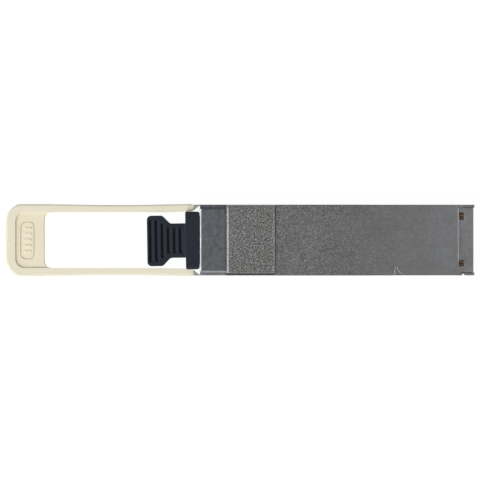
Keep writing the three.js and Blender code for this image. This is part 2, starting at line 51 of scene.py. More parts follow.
# ------------------------------------------------------------------ node helper
class Tree:
    """A material's node tree. Positions are the piece's own, in millimetres."""

    def __init__(self, name, metallic=0.0, **constants):
        self.mat = bpy.data.materials.new(name)
        self.mat.use_nodes = True
        self.nt = self.mat.node_tree
        self.nt.nodes.clear()
        out = self.node("ShaderNodeOutputMaterial")
        self.bsdf = self.node("ShaderNodeBsdfPrincipled")
        self.nt.links.new(self.bsdf.outputs[0], out.inputs["Surface"])
        self.bsdf.inputs["Metallic"].default_value = metallic
        for key, value in constants.items():
            self.bsdf.inputs[key.replace("_", " ")].default_value = value
        coord = self.node("ShaderNodeTexCoord").outputs["Object"]
        self.p = self.vector("SCALE", coord, scale=1000.0)
        split = self.node("ShaderNodeSeparateXYZ")
        self.put(split.inputs[0], self.p)
        self.x, self.y, self.z = split.outputs

    def node(self, kind, **props):
        n = self.nt.nodes.new(kind)
        for k, v in props.items():
            setattr(n, k, v)
        return n

    def put(self, socket, value):
        if isinstance(value, bpy.types.NodeSocket):
            self.nt.links.new(value, socket)
        elif hasattr(value, "__len__") and socket.type == "RGBA" and len(value) == 3:
            socket.default_value = (*value, 1.0)
        else:
            socket.default_value = value

    def math(self, op, a, b=None, c=None, clamp=False):
        n = self.node("ShaderNodeMath", operation=op, use_clamp=clamp)
        for s, v in zip(n.inputs, (a, b, c)):
            if v is not None:
                self.put(s, v)
        return n.outputs[0]

    def add(self, a, b):
        return self.math("ADD", a, b)

    def mul(self, a, b, clamp=False):
        return self.math("MULTIPLY", a, b, clamp=clamp)

    def vector(self, op, a, b=None, scale=None):
        n = self.node("ShaderNodeVectorMath", operation=op)
        self.put(n.inputs[0], a)
        if b is not None:
            self.put(n.inputs[1], b)
        if scale is not None:
            self.put(n.inputs["Scale"], scale)
        return n.outputs[0] if op not in ("LENGTH", "DISTANCE", "DOT_PRODUCT") else n.outputs["Value"]

    def noise(self, scale, detail=2.0, rough=0.5, stretch=None, distortion=0.0, offset=None):
        n = self.node("ShaderNodeTexNoise")
        p = self.p
        if stretch is not None:
            p = self.vector("MULTIPLY", p, stretch)
        if offset is not None:
            p = self.vector("ADD", p, offset)
        self.put(n.inputs["Vector"], p)
        n.inputs["Scale"].default_value = scale
        n.inputs["Detail"].default_value = detail
        n.inputs["Roughness"].default_value = rough
        n.inputs["Distortion"].default_value = distortion
        return n.outputs[0]

    def cells(self, scale, feature="F1", output="Distance", stretch=None):
        n = self.node("ShaderNodeTexVoronoi", feature=feature)
        p = self.p if stretch is None else self.vector("MULTIPLY", self.p, stretch)
        self.put(n.inputs["Vector"], p)
        n.inputs["Scale"].default_value = scale
        return n.outputs[output]

    def wave(self, scale, direction="X", distortion=0.0, detail=1.0):
        n = self.node("ShaderNodeTexWave", wave_type="BANDS", bands_direction=direction)
        self.put(n.inputs["Vector"], self.p)
        n.inputs["Scale"].default_value = scale
        n.inputs["Distortion"].default_value = distortion
        n.inputs["Detail"].default_value = detail
        return n.outputs[1]

    def remap(self, v, a, b, c=0.0, d=1.0, smooth=True):
        n = self.node("ShaderNodeMapRange", interpolation_type="SMOOTHSTEP" if smooth else "LINEAR")
        n.clamp = True
        for s, value in zip(n.inputs, (v, a, b, c, d)):
            self.put(s, value)
        return n.outputs[0]

    def ramp(self, fac, stops, lo=None, hi=None):
        if lo is not None:
            fac = self.remap(fac, lo, hi, smooth=False)
            stops = [((p - lo) / (hi - lo), c) for p, c in stops]
        n = self.node("ShaderNodeValToRGB")
        full = lambda c: (c, c, c, 1.0) if isinstance(c, (int, float)) else (*c, 1.0)
        own = n.color_ramp.elements
        own[0].position, own[0].color = stops[0][0], full(stops[0][1])
        own[1].position, own[1].color = stops[-1][0], full(stops[-1][1])
        for p, c in stops[1:-1]:
            own.new(p).color = full(c)
        self.put(n.inputs[0], fac)
        return n.outputs[0]

    def mix(self, fac, a, b, blend="MIX"):
        n = self.node("ShaderNodeMix", data_type="RGBA", blend_type=blend)
        n.clamp_factor = True
        self.put(n.inputs[0], fac)
        self.put(n.inputs[6], a)
        self.put(n.inputs[7], b)
        return n.outputs[2]

    def tint(self, colour, factor):
        """colour times a number"""
        return self.vector("SCALE", colour, scale=factor)

    def attribute(self, name):
        return self.node("ShaderNodeAttribute", attribute_name=name).outputs["Fac"]

    def bump(self, height, depth_mm, normal=None, strength=1.0):
        n = self.node("ShaderNodeBump")
        n.inputs["Strength"].default_value = strength
        n.inputs["Distance"].default_value = depth_mm * MM
        self.put(n.inputs["Height"], height)
        if normal is not None:
            self.put(n.inputs["Normal"], normal)
        return n.outputs[0]

    def done(self, colour=None, rough=None, normal=None):
        if colour is not None:
            self.put(self.bsdf.inputs["Base Color"], colour)
        if rough is not None:
            self.put(self.bsdf.inputs["Roughness"], rough)
        if normal is not None:
            self.put(self.bsdf.inputs["Normal"], normal)
        return self.mat


# ------------------------------------------------------------------ materials
def centred(t, v, amount):
    """amount times (v - 0.5)"""
    return t.mul(t.math("SUBTRACT", v, 0.5), amount)


def shell_metal(name, colours, grain_stops, wear_and_highlight_gain=0.35, rough=0.44, mottle=0.06):
    """Blasted, plated zinc casting. Colour and grain strength follow the length of the shell."""
    t = Tree(name, metallic=1.0)
    base = t.ramp(t.x, colours, -20.0, 52.0)
    amount = t.ramp(t.x, grain_stops, -20.0, 52.0)
    g1 = t.noise(2.5, 2.0, 0.62)
    g2 = t.noise(5.6, 1.5, 0.6, offset=(11.0, 3.0, 7.0))
    cell = t.cells(4.2, output="Color")
    cellv = t.node("ShaderNodeSeparateColor")
    t.put(cellv.inputs[0], cell)
    dist = t.cells(4.2)
    speck = t.mul(t.remap(cellv.outputs[0], 0.68, 1.0), t.remap(dist, 0.42, 0.12))
    pit = t.mul(t.remap(cellv.outputs[1], 0.84, 1.0), t.remap(dist, 0.42, 0.12))
    wide = t.noise(0.22, 3.0, 0.55, offset=(5.0, 9.0, 2.0))
    haze = t.noise(0.06, 2.0, 0.5, offset=(50.0, 9.0, 2.0))
    grain = t.add(centred(t, g1, 2.3), centred(t, g2, 1.7))
    grain = t.math("SUBTRACT", t.math("MULTIPLY", grain, t.remap(grain, -0.5, 0.5, 0.72, 1.25)), 0.06)
    grain = t.math("MAXIMUM", grain, -0.25)
    grain = t.add(grain, t.math("SUBTRACT", t.mul(speck, 0.66), t.mul(pit, 0.20)))
    f = t.add(1.0, t.mul(grain, amount))
    f = t.add(f, centred(t, wide, 0.16))
    f = t.add(f, centred(t, haze, 0.12))
    f = t.add(f, centred(t, t.noise(0.85, 2.0, 0.55, offset=(21.0, 4.0, 6.0)), mottle * 5.0))
    colour = t.tint(base, t.math("MAXIMUM", f, 0.15))
    hue = t.mix(t.remap(wide, 0.35, 0.65), (1.0, 0.995, 0.975), (0.985, 0.995, 1.02))
    colour = t.mix(1.0, colour, hue, "MULTIPLY")
    # Per-face mark: positive values lighten towards pale grey (edge wear on the rounds, plus painted highlights on
    # chosen chamfers and strokes); negative values darken, painted shade.
    wear_and_light_mark = t.attribute("wear_and_painted_light")
    wear_and_painted_light = t.mul(t.math("MAXIMUM", wear_and_light_mark, 0.0), t.remap(t.noise(0.9, 3.0, 0.6), 0.3, 0.7, 0.68, 1.0))
    colour = t.mix(t.mul(wear_and_painted_light, wear_and_highlight_gain, clamp=True), colour, (0.80, 0.80, 0.81))
    colour = t.tint(colour, t.remap(wear_and_light_mark, 0.0, -1.0, 1.0, 0.42, smooth=False))
    r = t.add(rough, t.add(centred(t, wide, 0.14), t.mul(centred(t, g1, 0.35), amount)))
    r = t.math("SUBTRACT", r, t.add(t.mul(wear_and_painted_light, 0.10), t.mul(t.mul(speck, amount), 0.15)), clamp=True)
    h = t.add(t.mul(g1, 0.7), t.add(t.mul(g2, 0.5), t.mul(t.math("SUBTRACT", speck, t.mul(pit, 0.4)), 0.25)))
    h = t.mul(h, t.add(t.mul(amount, 0.9), 0.1))
    n = t.bump(h, 0.035)
    return t.done(colour, r, n)


def sheet_steel(name, colour, rough=0.33, along=(0.05, 1.0, 1.0)):
    """Rolled sheet: fine streaks along the rolling direction, a few scuffs."""
    t = Tree(name, metallic=1.0)
    streak = t.noise(7.0, 3.0, 0.7, stretch=along)
    fine = t.noise(22.0, 2.0, 0.6, stretch=along)
    cloud = t.noise(0.45, 3.0, 0.6)
    f = t.add(1.0, t.add(centred(t, streak, 0.45), t.add(centred(t, fine, 0.25), centred(t, cloud, 0.22))))
    c = t.tint(colour, f)
    wear_and_painted_light = t.mul(t.attribute("wear_and_painted_light"), 0.35)
    c = t.mix(wear_and_painted_light, c, (0.85, 0.85, 0.83))
    r = t.add(rough, t.add(centred(t, streak, 0.22), centred(t, cloud, 0.16)))
    n = t.bump(t.add(streak, t.mul(fine, 0.6)), 0.006)
    return t.done(c, r, n)


def elastomer(name):
    """Beige moulded elastomer of the pull tab, satin, with a spark-eroded texture."""
    t = Tree(name, IOR=1.47, Subsurface_Weight=0.06, Subsurface_Scale=0.0006)
    t.bsdf.inputs["Subsurface Radius"].default_value = (1.0, 0.75, 0.45)
    depth = t.math("ABSOLUTE", t.math("SUBTRACT", t.z, 4.5))
    rim = t.remap(depth, 1.26, 1.46)
    c = t.mix(rim, (0.826, 0.760, 0.578), (0.812, 0.762, 0.606))
    grip = t.remap(t.x, -58.0, -50.0)
    c = t.mix(t.mul(grip, 0.8), c, (0.812, 0.762, 0.605))
    cloud = t.noise(0.10, 3.0, 0.55, offset=(3.0, 1.0, 9.0))
    mottle = t.noise(0.9, 3.0, 0.6)
    fine = t.noise(6.5, 3.0, 0.65)
    f = t.add(1.0, t.add(centred(t, cloud, 0.06), t.add(centred(t, mottle, 0.035), centred(t, fine, 0.03))))
    c = t.tint(c, f)
    # Marked faces: positive values darken (soil on the rounds, and painted shade on the rounds facing the light and in
    # the ring's groove); negative values lighten, painted light on the rounds facing away from the light.
    soil_and_painted_shade = t.mul(t.attribute("wear_and_painted_light"), t.remap(mottle, 0.35, 0.7, 0.2, 1.0))
    c = t.mix(t.mul(soil_and_painted_shade, 0.10, clamp=True), c, (0.62, 0.55, 0.42))
    c = t.tint(c, t.remap(t.attribute("wear_and_painted_light"), 1.0, 4.0, 1.0, 0.66, smooth=False))
    c = t.mix(t.remap(t.attribute("wear_and_painted_light"), 0.0, -1.5, 0.0, 0.7, smooth=False), c, (0.97, 0.93, 0.80))
    r = t.add(0.50, t.add(centred(t, mottle, 0.12), centred(t, fine, 0.10)))
    erode = t.noise(9.0, 3.0, 0.6, offset=(1.0, 2.0, 3.0))
    n = t.bump(t.add(erode, t.mul(mottle, 0.5)), 0.012)
    return t.done(c, r, n)


def moulded(name, colour, rough=0.42, texture=0.010, scale=7.0, light=0.10, wear_colour=None, **constants):
    """Moulded plastic with an eroded tool texture, faint flow clouds and lighter rubbed edges."""
    t = Tree(name, **constants)
    cloud = t.noise(0.25, 3.0, 0.55)
    fine = t.noise(scale, 3.0, 0.65)
    c = t.tint(colour, t.add(1.0, t.add(centred(t, cloud, 0.30), centred(t, fine, 0.25))))
    dust = t.remap(t.noise(1.7, 4.0, 0.7, offset=(4.0, 4.0, 4.0)), 0.55, 0.80)
    c = t.mix(t.mul(dust, light), c, [min(1.0, v * 2.2 + 0.02) for v in colour])
    wear_and_painted_light = t.mul(t.attribute("wear_and_painted_light"), t.remap(t.noise(1.4, 3.0, 0.6), 0.35, 0.65, 0.25, 1.0))
    c = t.mix(t.mul(wear_and_painted_light, 0.22), c, wear_colour or [min(1.0, v * 1.9 + 0.012) for v in colour])
    r = t.add(rough, t.add(centred(t, cloud, 0.16), centred(t, fine, 0.16)))
    n = t.bump(t.add(fine, t.mul(t.noise(scale * 2.1, 2.0, 0.6), 0.5)), texture)
    return t.done(c, r, n)


def ground_metal(name, colour, rough=0.25, stretch=(1.0, 1.0, 1.0), scale=9.0):
    t = Tree(name, metallic=1.0)
    a = t.noise(scale, 3.0, 0.65, stretch=stretch)
    b = t.noise(0.8, 3.0, 0.6)
    c = t.tint(colour, t.add(1.0, t.add(centred(t, a, 0.28), centred(t, b, 0.20))))
    c = t.mix(t.mul(t.attribute("wear_and_painted_light"), 0.3), c, [min(1.0, v * 1.3 + 0.1) for v in colour])
    r = t.add(rough, t.add(centred(t, a, 0.18), centred(t, b, 0.14)))
    return t.done(c, r, t.bump(a, 0.004))


def film(name):
    """Blank satin film: faint orange peel, a slightly darker die-cut edge."""
    t = Tree(name, Coat_Weight=0.25, Coat_Roughness=0.25)
    cloud = t.noise(0.18, 3.0, 0.5)
    peel = t.noise(3.2, 2.0, 0.5)
    c = t.tint((0.80, 0.80, 0.78), t.add(1.0, t.add(centred(t, cloud, 0.06), centred(t, peel, 0.02))))
    edge = t.math("MAXIMUM", t.remap(t.math("ABSOLUTE", t.y), 6.55, 6.8), t.remap(t.math("ABSOLUTE", t.math("SUBTRACT", t.x, 24.0)), 15.75, 16.0))
    c = t.mix(t.mul(edge, 0.30), c, (0.50, 0.49, 0.46))
    return t.done(c, t.add(0.42, centred(t, cloud, 0.15)), t.bump(peel, 0.004))


def solder_mask(name):
    """Circuit board: dark mask over laminate, traces standing slightly proud, glass weave, vias."""
    t = Tree(name, Coat_Weight=0.15, Coat_Roughness=0.2)
    weave = t.mul(t.wave(2.2, "X"), t.wave(2.2, "Y"))
    lines = t.math("SINE", t.mul(t.add(t.y, t.mul(t.remap(t.noise(0.16, 1.0), 0.4, 0.6), 0.9)), 13.5))
    zone = t.remap(t.noise(0.22, 2.0, offset=(2.0, 8.0, 0.0)), 0.46, 0.50)
    trace = t.mul(t.remap(lines, 0.25, 0.45), zone)
    d = t.cells(1.05)
    via = t.remap(d, 0.17, 0.14)
    hole = t.remap(d, 0.08, 0.06)
    c = t.mix(trace, (0.040, 0.027, 0.019), (0.078, 0.052, 0.034))
    c = t.tint(c, t.add(0.9, t.mul(weave, 0.22)))
    c = t.mix(via, c, (0.34, 0.23, 0.10))
    c = t.mix(hole, c, (0.008, 0.007, 0.006))
    # bare laminate on the routed edges
    normal = t.node("ShaderNodeSeparateXYZ")
    t.put(normal.inputs[0], t.node("ShaderNodeNewGeometry").outputs["True Normal"])
    side = t.remap(t.math("ABSOLUTE", normal.outputs[2]), 0.6, 0.4)
    fibres = t.mix(t.remap(t.noise(14.0, 2.0, 0.6, stretch=(0.3, 0.3, 1.0)), 0.4, 0.6), (0.30, 0.24, 0.12), (0.42, 0.35, 0.19))
    c = t.mix(side, c, fibres)
    r = t.add(0.36, t.add(t.mul(side, 0.35), centred(t, t.noise(1.2, 3.0), 0.12)))
    n = t.bump(t.math("SUBTRACT", t.add(trace, t.mul(weave, 0.15)), t.mul(hole, 1.2)), 0.02)
    return t.done(c, r, n)


def amber_optic(name):
    t = Tree(name, IOR=1.64, Transmission_Weight=0.55)
    cloud = t.noise(0.7, 3.0, 0.5)
    flow = t.noise(1.8, 2.0, 0.5, stretch=(1.0, 0.2, 1.0))
    c = t.mix(t.remap(cloud, 0.3, 0.7), (0.78, 0.36, 0.06), (0.62, 0.24, 0.03))
    return t.done(c, t.add(0.10, centred(t, flow, 0.08)), t.bump(flow, 0.004))


def die_surface(name):
    """Polished silicon with a faint circuit grid and a purple-blue cast."""
    t = Tree(name, metallic=0.35, Coat_Weight=0.4, Coat_Roughness=0.08)
    cell = t.cells(3.4, output="Color", stretch=(1.0, 1.6, 1.0))
    s = t.node("ShaderNodeSeparateColor")
    t.put(s.inputs[0], cell)
    grid = t.math("MAXIMUM", t.remap(t.wave(2.6, "X"), 0.86, 0.95), t.remap(t.wave(2.6, "Y"), 0.86, 0.95))
    c = t.mix(s.outputs[0], (0.10, 0.095, 0.13), (0.17, 0.15, 0.15))
    c = t.mix(t.mul(grid, 0.5), c, (0.30, 0.28, 0.24))
    return t.done(c, t.add(0.16, t.mul(s.outputs[1], 0.12)), t.bump(grid, 0.003))


def foam(name):
    t = Tree(name, Sheen_Weight=0.3, Sheen_Roughness=0.5)
    a = t.cells(5.5)
    b = t.noise(9.0, 3.0, 0.6)
    fabric = t.mul(t.wave(3.1, "Y"), t.wave(3.1, "Z"))
    c = t.mix(t.remap(a, 0.1, 0.6), (0.035, 0.035, 0.036), (0.10, 0.10, 0.098))
    c = t.tint(c, t.add(0.8, t.mul(fabric, 0.5)))
    return t.done(c, t.add(0.75, centred(t, b, 0.2)), t.bump(t.add(a, t.mul(fabric, 0.6)), 0.05))


def silicone_pad(name):
    t = Tree(name, IOR=1.42)
    cloud = t.noise(0.6, 3.0, 0.6)
    grit = t.noise(8.0, 3.0, 0.7)
    c = t.mix(t.remap(cloud, 0.3, 0.7), (0.32, 0.35, 0.39), (0.40, 0.42, 0.45))
    c = t.tint(c, t.add(1.0, centred(t, grit, 0.35)))
    return t.done(c, t.add(0.72, centred(t, grit, 0.15)), t.bump(t.add(grit, cloud), 0.03))


def ribbon_coat(name):
    """Fibre ribbon: twelve coated fibres side by side under one clear coat."""
    t = Tree(name, Coat_Weight=0.6, Coat_Roughness=0.08, IOR=1.5)
    fibre = t.math("ABSOLUTE", t.math("SINE", t.mul(t.y, math.pi / 0.25)))
    lane = t.remap(t.noise(0.35, 1.0, stretch=(0.05, 8.0, 0.05)), 0.4, 0.6)
    c = t.mix(lane, (0.08, 0.42, 0.52), (0.14, 0.52, 0.60))
    c = t.tint(c, t.add(0.65, t.mul(fibre, 0.4)))
    n = t.bump(fibre, 0.03)
    return t.done(c, t.add(0.25, centred(t, t.noise(3.0, 2.0), 0.15)), n)


GREY = (0.205, 0.205, 0.202)
SLATE = (0.157, 0.161, 0.176)
# colour along the length: the bright band at X -0.5 to -0.25 is a painted highlight on the shoulder's edge, and the
# dips at X 0.5 and X 47.7 are painted shade at the foot of the shoulder and of the rear step
cover_metal = shell_metal(
    "cover_casting",
    [(-20, (0.210, 0.210, 0.205)), (-0.62, (0.210, 0.210, 0.205)), (-0.5, (0.30, 0.30, 0.295)), (-0.25, (0.30, 0.30, 0.295)),
     (-0.05, (0.200, 0.200, 0.199)), (0.5, (0.194, 0.194, 0.193)), (0.8, (0.200, 0.200, 0.199)), (12, (0.196, 0.196, 0.196)), (20, (0.195, 0.195, 0.195)),
     (36, (0.215, 0.216, 0.220)), (47.2, (0.226, 0.228, 0.234)), (47.7, (0.216, 0.216, 0.226)), (48.2, (0.222, 0.222, 0.231)), (48.9, (0.252, 0.252, 0.259))],
    [(-20, 1.80), (-0.2, 1.80), (0.3, 1.13), (14, 1.00), (27, 0.48), (36, 0.26), (47, 0.18), (51, 0.3)])
# the dark band at X -12.8 to -12.6 is painted shade in the corner at the foot of the cover's riser
base_metal = shell_metal(
    "base_casting",
    [(-20, SLATE), (-13.1, SLATE), (-12.8, tuple(0.64 * c for c in SLATE)), (-12.6, tuple(0.64 * c for c in SLATE)),
     (-12.5, GREY), (20, (0.19, 0.19, 0.19)), (51, (0.215, 0.215, 0.22))],
    [(-20, 0.36), (-13.0, 0.36), (-12.5, 0.6), (20, 0.5), (51, 0.25)], rough=0.42, mottle=0.17)
slider_metal = sheet_steel("slider_sheet", (0.50, 0.51, 0.455))
tab_material = elastomer("tab_elastomer")
plug_material = moulded("plug_moulding", (0.0100, 0.0138, 0.0235), rough=0.46, texture=0.012, light=0.08, Specular_IOR_Level=0.26)
port_material = moulded("port_moulding", (0.016, 0.016, 0.018), rough=0.45)
ferrule_material = moulded("ferrule_moulding", (0.035, 0.035, 0.037), rough=0.28, texture=0.004, scale=12.0)
chip_material = moulded("chip_package", (0.014, 0.014, 0.0145), rough=0.5, texture=0.008, scale=12.0)
ferrite_material = moulded("ferrite_block", (0.07, 0.07, 0.07), rough=0.6, texture=0.02, scale=8.0)
screw_metal = ground_metal("screw_plating", (0.48, 0.48, 0.50), 0.3)
spring_metal = ground_metal("spring_wire", (0.52, 0.52, 0.53), 0.24, (0.3, 1.0, 1.0), 12.0)
pin_metal = ground_metal("pin_steel", (0.62, 0.62, 0.63), 0.18, (0.15, 1.0, 1.0), 16.0)
keeper_metal = ground_metal("keeper_steel", (0.55, 0.55, 0.56), 0.3)
# the contact gold is darkened to a dull brown, painted shade of the deep cover windows it is seen through
gold_metal = ground_metal("contact_gold", (0.39, 0.26, 0.175), 0.32, (0.2, 1.0, 1.0), 10.0)
tin_metal = ground_metal("terminal_tin", (0.60, 0.60, 0.61), 0.38)
label_material = film("label_film")
board_material = solder_mask("board_mask")
lens_material = amber_optic("lens_amber")
die_material = die_surface("die_silicon")
foam_material = foam("gasket_foam")
pad_material = silicone_pad("gap_pad")
ribbon_material = ribbon_coat("ribbon_coat")
ceramic_material = moulded("capacitor_ceramic", (0.30, 0.20, 0.12), rough=0.4, texture=0.006, scale=9.0)
glass_material = moulded("fibre_glass", (0.55, 0.60, 0.62), rough=0.12, texture=0.001, scale=20.0)


# ------------------------------------------------------------------ mesh helpers
def edge_angle(e):
    return e.calc_face_angle(0.0) if len(e.link_faces) == 2 else 0.0


def clean_copy(node):
    """The node's own shape in millimetres, with its flat faces joined up."""
    bm = bmesh.new()
    bm.from_mesh(NODES[node].data)
    for layer in list(bm.loops.layers.uv):
        bm.loops.layers.uv.remove(layer)
    bmesh.ops.scale(bm, vec=(1 / MM,) * 3, verts=bm.verts)
    bmesh.ops.remove_doubles(bm, verts=bm.verts, dist=0.002)
    bmesh.ops.dissolve_limit(bm, angle_limit=math.radians(0.5), use_dissolve_boundaries=False,
                             verts=bm.verts, edges=bm.edges, delimit=set())
    bm.normal_update()
    return bm


def round_edges(bm, width, segments=2, pick=None, angle=28.0, profile=0.5, convex=True):
    """Rounds the sharp edges that pick() allows, where there is room for it."""
    wear_and_painted_light = bm.faces.layers.float.get("wear_and_painted_light") or bm.faces.layers.float.new("wear_and_painted_light")
    done = bm.faces.layers.int.get("rounded") or bm.faces.layers.int.new("rounded")
    limit = math.radians(angle)
    able = {e for e in bm.edges if len(e.link_faces) == 2 and edge_angle(e) > limit and (e.is_convex or not convex)}

    def goes_on(e, v):
        """another sharp edge carries on from v in nearly the same direction"""
        d = (e.other_vert(v).co - v.co).normalized()
        return any(o is not e and o in able and (o.other_vert(v).co - v.co).normalized().dot(d) < -0.85 for o in v.link_edges)

    sharp = {e for e in able if e.calc_length() > 1.2 * width
             or e.calc_length() > 0.02 and all(goes_on(e, v) for v in e.verts)}
    chosen = []
    for e in bm.edges:
        if e not in sharp:
            continue
        if pick is not None and not pick(e):
            continue
        d = (e.verts[1].co - e.verts[0].co).normalized()
        tight = False
        for v in e.verts:
            for o in v.link_edges:
                if o is e or not (set(o.link_faces) & set(e.link_faces)):
                    continue
                od = (o.other_vert(v).co - v.co).normalized()
                if abs(od.dot(d)) > 0.85:
                    continue
                if o.calc_length() < 2.1 * width:
                    tight = True
        if not tight:
            chosen.append(e)
    if not chosen:
        return bm
    made = bmesh.ops.bevel(bm, geom=chosen, offset=width, offset_type="OFFSET", segments=segments,
                           profile=profile, affect="EDGES", clamp_overlap=False, loop_slide=False)
    for f in made["faces"]:
        f[wear_and_painted_light] = 1.0
        f[done] = 1
    bmesh.ops.remove_doubles(bm, verts=bm.verts, dist=0.0008)
    bm.normal_update()
    return bm


def paint_light(bm, where, amount):
    """Marks faces with painted light or painted shade, by their centre and normal."""
    wear_and_painted_light = bm.faces.layers.float.get("wear_and_painted_light") or bm.faces.layers.float.new("wear_and_painted_light")
    for f in bm.faces:
        if where(f.calc_center_median(), f.normal):
            f[wear_and_painted_light] = amount


def corner_normals(bm, rounded):
    """A normal for each face corner: flat faces stay flat, and the rounds run into them smoothly."""
    bm.faces.index_update()
    soft_flat, soft_round = math.radians(26.0), math.radians(50.0)
    out = []
    for f in bm.faces:
        for loop in f.loops:
            v = loop.vert
            group, todo = {f}, [f]
            while todo:
                g = todo.pop()
                for e in v.link_edges:
                    if g not in e.link_faces:
                        continue
                    for h in e.link_faces:
                        if h in group:
                            continue
                        if not rounded[f.index] and rounded[h.index]:
                            continue
                        limit = soft_round if (rounded[g.index] or rounded[h.index]) else soft_flat
                        if edge_angle(e) < limit:
                            group.add(h)
                            todo.append(h)
            flats = [g for g in group if not rounded[g.index]]
            n = Vector((0, 0, 0))
            if flats:
                for g in flats:
                    n += g.normal * g.calc_area()
            else:
                for g in group:
                    n += g.normal * max(1e-6, g.calc_area() ** 0.5)
            out.append(tuple(n.normalized() if n.length > 1e-12 else f.normal))
    return out


def finish_piece(name, bm, body, material, replaces=(), even=True):
    """Writes a mesh made in millimetres as a piece of the object."""
    wear_and_painted_light = bm.faces.layers.float.get("wear_and_painted_light") or bm.faces.layers.float.new("wear_and_painted_light")
    done = bm.faces.layers.int.get("rounded") or bm.faces.layers.int.new("rounded")
    loose = [v for v in bm.verts if not v.link_faces]
    if loose:
        bmesh.ops.delete(bm, geom=loose, context="VERTS")
    bm.normal_update()
    bm.faces.index_update()
    for f in bm.faces:
        f.smooth = True
    normals = corner_normals(bm, [f[done] for f in bm.faces]) if even else None
    open_edges = sum(1 for e in bm.edges if len(e.link_faces) != 2)
    if open_edges:
        print(f"NOTE {name}: {open_edges} open edges")
    bmesh.ops.scale(bm, vec=(MM,) * 3, verts=bm.verts)
    mesh = bpy.data.meshes.new(name)
    bm.to_mesh(mesh)
    bm.free()
    if normals:
        mesh.normals_split_custom_set(normals)
    o = bpy.data.objects.new(name, mesh)
    scene.collection.objects.link(o)
    mesh.materials.append(material)
    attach(o, body)
    if replaces:
        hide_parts(*replaces)
    return o


def add_box(bm, x0, x1, y0, y1, z0, z1):
    made = bmesh.ops.create_cube(bm, size=1.0)
    for v in made["verts"]:
        v.co = Vector(((x0 + x1) / 2 + v.co.x * (x1 - x0), (y0 + y1) / 2 + v.co.y * (y1 - y0), (z0 + z1) / 2 + v.co.z * (z1 - z0)))
    return made["verts"]


def add_tube(bm, points, radius, sides=10, flat=1.0):
    """A closed round bar along points; flat squeezes it in Z. radius may be a function of the share of the length."""
    pts = [Vector(p) for p in points]
    r = radius if callable(radius) else (lambda s: radius)
    rings = []
    up = Vector((0, 0, 1))
    prev = None
    for i, p in enumerate(pts):
        d = (pts[min(i + 1, len(pts) - 1)] - pts[max(i - 1, 0)]).normalized()
        side = (prev - d * prev.dot(d)) if prev is not None else (up.cross(d) if abs(d.dot(up)) < 0.95 else Vector((0, 1, 0)).cross(d))
        side.normalize()
        prev = side
        other = d.cross(side)
        ring = []
        for k in range(sides):
            a = 2 * math.pi * k / sides
            off = (side * math.cos(a) + other * math.sin(a)) * r(i / (len(pts) - 1))
            off.z *= flat
            ring.append(bm.verts.new(p + off))
        rings.append(ring)
    for a, b in zip(rings, rings[1:]):
        for k in range(sides):
            bm.faces.new((a[k], a[(k + 1) % sides], b[(k + 1) % sides], b[k]))
    bm.faces.new(list(reversed(rings[0])))
    bm.faces.new(rings[-1])


def z_at(e, *levels, tol=0.02):
    return all(any(abs(v.co.z - z) < tol for z in levels) for v in e.verts)


# ------------------------------------------------------------------ shell
bm = clean_copy("base_housing")
outside = lambda e: all(abs(v.co.y) > 8.0 or v.co.z < 0.7 or v.co.z > 7.5 or v.co.x < -19 or v.co.x > 51 for v in e.verts)
round_edges(bm, 0.10, 2, outside)
# painted light on the base: painted highlights on the nose's front and -Y chamfers, painted shade on the nose's +Y
# ledge and outer round, painted light on its -Y ledge and round, painted light on the +Y ledge and painted shade on the
# -Y ledge beside the cover's raised part, painted shade on the rounds of the rear bay walls
paint_light(bm, lambda c, n: c.x < -19.15 and n.x < -0.25 and n.z > 0.25, 2.6)
paint_light(bm, lambda c, n: c.x < -12.7 and n.y < -0.25 and n.z > 0.3 and c.z > 7.9, 1.3)
paint_light(bm, lambda c, n: c.x < -12.7 and 7.9 < c.y < 8.98 and n.z > 0.5 and c.z > 7.6, -0.2)
paint_light(bm, lambda c, n: c.x < -12.7 and c.y > 8.98 and n.z > 0.1 and c.z > 7.5, -0.9)
paint_light(bm, lambda c, n: c.x < -12.7 and -8.98 < c.y < -8.5 and n.z > 0.5 and c.z > 7.6, 0.3)
paint_light(bm, lambda c, n: c.x < -12.7 and c.y < -8.98 and n.z > 0.1 and c.z > 7.5, 0.8)
paint_light(bm, lambda c, n: -12.6 < c.x < -0.1 and 8.5 < c.y < 9.08 and n.z > 0.8 and c.z > 7.8, 1.0)
paint_light(bm, lambda c, n: -12.6 < c.x < -0.1 and c.y < -8.5 and n.z > 0.3 and c.z > 7.8, -0.85)
paint_light(bm, lambda c, n: c.x > 48.2 and abs(c.y) < 8.6 and n.y * c.y < -0.2 and n.z > 0.1 and c.z > 7.9, -0.9)
base = finish_piece("base_shell", bm, "housing", base_metal, ["base_housing"])

bm = clean_copy("top_cover")
on_top = lambda e: all(v.co.z > 7.2 for v in e.verts) and not all(47.2 < v.co.x < 49.2 for v in e.verts)
round_edges(bm, 0.09, 2, on_top)
round_edges(bm, 0.02, 1, lambda e: all(v.co.z > 8.0 and 47.2 < v.co.x < 49.3 for v in e.verts))
# painted highlight on the riser's chamfer that faces the nose
paint_light(bm, lambda c, n: c.x < -12.0 and n.x < -0.25 and n.z > 0.15, 1.5)


def cut_faces(bm, where, point, normal):
    """Splits the faces that where() picks along a plane."""
    picked = {g for f in bm.faces if where(f.calc_center_median(), f.normal) for g in (f, *f.edges, *f.verts)}
    bmesh.ops.bisect_plane(bm, geom=[g for seq in (bm.verts, bm.edges, bm.faces) for g in seq if g in picked],
                           plane_co=point, plane_no=normal)
    bm.normal_update()


